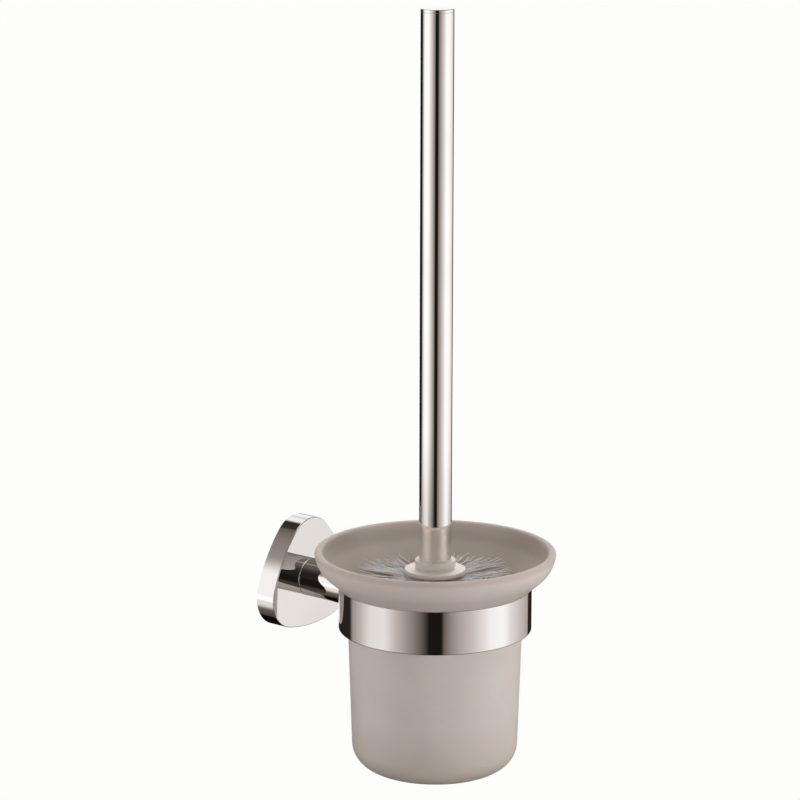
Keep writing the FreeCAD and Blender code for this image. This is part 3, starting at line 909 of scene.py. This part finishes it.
STUDIO_HIGH = [
    (-180, 0.60), (-172, 0.70), (-165, 0.95), (-152, 0.95), (-142, 0.03), (-110, 0.04),
    (-98, 0.22), (-84, 0.36), (-50, 0.30), (-10, 0.10), (0, 0.02), (10, 0.03), (30, 0.12),
    (60, 0.14), (100, 0.20), (130, 0.40), (150, 0.60), (172, 0.60),
]
OVERHEAD = (1.0, 0.99, 0.97)
UNDERNEATH = (0.20, 0.18, 0.16)    # share of the low screens that is left straight below
# Between these heights of a unit direction, one table blends into the next.
LOW_TO_MIDDLE = (-0.26, -0.22)
MIDDLE_TO_RAISED = (-0.04, 0.06)
RAISED_TO_HIGH = (0.34, 0.52)
UNDERNEATH_TO_LOW = (-0.62, -0.42)
HIGH_TO_OVERHEAD = (0.80, 0.93)
WARMTH = (0.02, 0.16)              # of the brightest screens, and how much more the darkest have
GREEN_LOSS = 1.2                   # how much of its green and blue a warm screen lacks
BLUE_LOSS = 1.8

# Softboxes as (name, degrees to the right of CAMERA_AZIMUTH, degrees up, size, watts).
SOFTBOX_DISTANCE = 1.2
SOFTBOXES = [
    ("key_softbox", 64, -2, 0.8, 13.2),
    ("fill_softbox", -58, -4, 0.8, 7.2),
    ("low_softbox", -20, -58, 1.0, 5.0),
    ("top_softbox", 165, 58, 0.7, 6.5),
    ("back_softbox", 180, 8, 1.0, 2.5),
]


def make_studio():
    """World that reflections and light see as the studio, and the camera as a plain backdrop."""
    world = bpy.data.worlds.new("studio")
    bpy.context.scene.world = world
    world.use_nodes = True
    tree = world.node_tree
    tree.nodes.clear()

    def add(kind, **values):
        """Node of a kind, with its settings."""
        node = tree.nodes.new(kind)
        for name, value in values.items():
            setattr(node, name, value)
        return node

    place = add("ShaderNodeTexCoord")
    turn = add("ShaderNodeVectorRotate", rotation_type="Z_AXIS")
    turn.inputs["Angle"].default_value = -CAMERA_AZIMUTH
    tree.links.new(place.outputs["Generated"], turn.inputs["Vector"])
    split = add("ShaderNodeSeparateXYZ")
    tree.links.new(turn.outputs["Vector"], split.inputs["Vector"])
    flip = add("ShaderNodeMath", operation="MULTIPLY")
    flip.inputs[1].default_value = -1
    tree.links.new(split.outputs["Y"], flip.inputs[0])
    angle = add("ShaderNodeMath", operation="ARCTAN2")
    tree.links.new(split.outputs["X"], angle.inputs[0])
    tree.links.new(flip.outputs[0], angle.inputs[1])
    share = add("ShaderNodeMapRange")
    for socket, value in zip(share.inputs[1:5], (-math.pi, math.pi, 0, 1)):
        socket.default_value = value
    tree.links.new(angle.outputs[0], share.inputs[0])

    def around(stops):
        """Colour of one table in each direction round the object."""
        ramp = add("ShaderNodeValToRGB")
        elements = ramp.color_ramp.elements
        while len(elements) < len(stops):
            elements.new(0.5)
        for element, (degrees, brightness) in zip(elements, stops):
            warmth = WARMTH[0] + WARMTH[1] * max(0, 1 - brightness)
            element.position = (degrees + 180) / 360
            element.color = (brightness, brightness * (1 - GREEN_LOSS * warmth),
                             brightness * (1 - BLUE_LOSS * warmth), 1)
        tree.links.new(share.outputs[0], ramp.inputs["Fac"])
        return ramp.outputs["Color"]

    def blend_by_height(heights, first, second):
        """First colour below two heights of the direction, second above them."""
        span = add("ShaderNodeMapRange", interpolation_type="SMOOTHSTEP")
        span.inputs[1].default_value, span.inputs[2].default_value = heights
        tree.links.new(split.outputs["Z"], span.inputs[0])
        mix = add("ShaderNodeMix", data_type="RGBA")
        tree.links.new(span.outputs[0], mix.inputs["Factor"])
        for socket, value in ((mix.inputs[6], first), (mix.inputs[7], second)):
            if isinstance(value, tuple):
                socket.default_value = (*value, 1)
            else:
                tree.links.new(value, socket)
        return mix.outputs[2]

    screens = blend_by_height(LOW_TO_MIDDLE, around(STUDIO_LOW), around(STUDIO_MIDDLE))
    screens = blend_by_height(MIDDLE_TO_RAISED, screens, around(STUDIO_RAISED))
    screens = blend_by_height(RAISED_TO_HIGH, screens, around(STUDIO_HIGH))
    dimmed = add("ShaderNodeMix", data_type="RGBA", blend_type="MULTIPLY")
    dimmed.inputs["Factor"].default_value = 1
    tree.links.new(screens, dimmed.inputs[6])
    dimmed.inputs[7].default_value = (*UNDERNEATH, 1)
    with_floor = blend_by_height(UNDERNEATH_TO_LOW, dimmed.outputs[2], screens)
    with_sky = blend_by_height(HIGH_TO_OVERHEAD, with_floor, OVERHEAD)
    studio = add("ShaderNodeBackground")
    tree.links.new(with_sky, studio.inputs["Color"])
    plain = add("ShaderNodeBackground")
    plain.inputs["Color"].default_value = (*BACKDROP, 1)
    rays = add("ShaderNodeLightPath")
    shown = add("ShaderNodeMixShader")
    tree.links.new(rays.outputs["Is Camera Ray"], shown.inputs[0])
    tree.links.new(studio.outputs[0], shown.inputs[1])
    tree.links.new(plain.outputs[0], shown.inputs[2])
    output = add("ShaderNodeOutputWorld")
    tree.links.new(shown.outputs[0], output.inputs["Surface"])


def make_softbox(name, side_angle, elevation, size, power):
    """Square soft light, whose own shape polished metal doesn't show."""
    data = bpy.data.lights.new(name, "AREA")
    data.shape = "SQUARE"
    data.size = size
    data.energy = power
    lamp = bpy.data.objects.new(name, data)
    bpy.context.scene.collection.objects.link(lamp)
    way = towards(CAMERA_AZIMUTH + math.radians(side_angle), math.radians(elevation))
    lamp.location = CUP_AXIS + way * SOFTBOX_DISTANCE
    lamp.rotation_euler = way.to_track_quat("Z", "Y").to_euler()
    lamp.visible_glossy = False
    lamp.visible_camera = False


def make_floor():
    """Pale floor under the object, as bright as the backdrop."""
    height = cup_bottom - FLOOR_DROP
    corners = [(x * FLOOR_HALF, y * FLOOR_HALF, height)
               for x, y in ((-1, -1), (1, -1), (1, 1), (-1, 1))]
    floor = new_piece("floor", corners, [(0, 1, 2, 3)])
    material = bpy.data.materials.new("pale_floor")
    material.use_nodes = True
    shader = material.node_tree.nodes["Principled BSDF"]
    shader.inputs["Base Color"].default_value = (0, 0, 0, 1)
    shader.inputs["Specular IOR Level"].default_value = 0
    shader.inputs["Emission Color"].default_value = (*BACKDROP, 1)
    shader.inputs["Emission Strength"].default_value = 1
    floor.data.materials.append(material)
    floor.visible_glossy = False
    floor.visible_diffuse = False
    floor.visible_transmission = False


# ---- the whole scene ----
def dress(node, material):
    """Give a CAD node that stays its material."""
    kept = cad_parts[node]
    if not kept.material_slots:
        kept.data.materials.append(material)
    for slot in kept.material_slots:
        slot.material = material


make_camera()
make_studio()
make_floor()
for softbox in SOFTBOXES:
    make_softbox(*softbox)

view = bpy.context.scene.view_settings
view.view_transform = "Standard"
view.look = "None"
view.exposure = 0
view.gamma = 1

chrome = make_chrome()
make_wall_plate(chrome)
make_arm(chrome)
make_ring(chrome)
make_tube(chrome)
make_cap(chrome)
make_cup(make_frosted_glass())

plastic = make_plastic()
make_collar(plastic)
make_core(plastic)

nylon = make_nylon()
for row in range(ROW_COUNT):
    make_bristle_row(row, nylon)
make_end_tuft(nylon)

dress("wall_bracket", make_steel("bracket_steel", BRACKET_TINTS, roughness=0.38))
steel = make_steel("screw_steel", SCREW_TINTS, roughness=0.28)
for node in ("bracket_post", "arm_grub_screw", "ring_screw", "head_stud"):
    dress(node, steel)
dress("handle_insert", make_steel("insert_brass", BRASS_TINTS, roughness=0.30))
dress("seat_gasket", make_silicone())
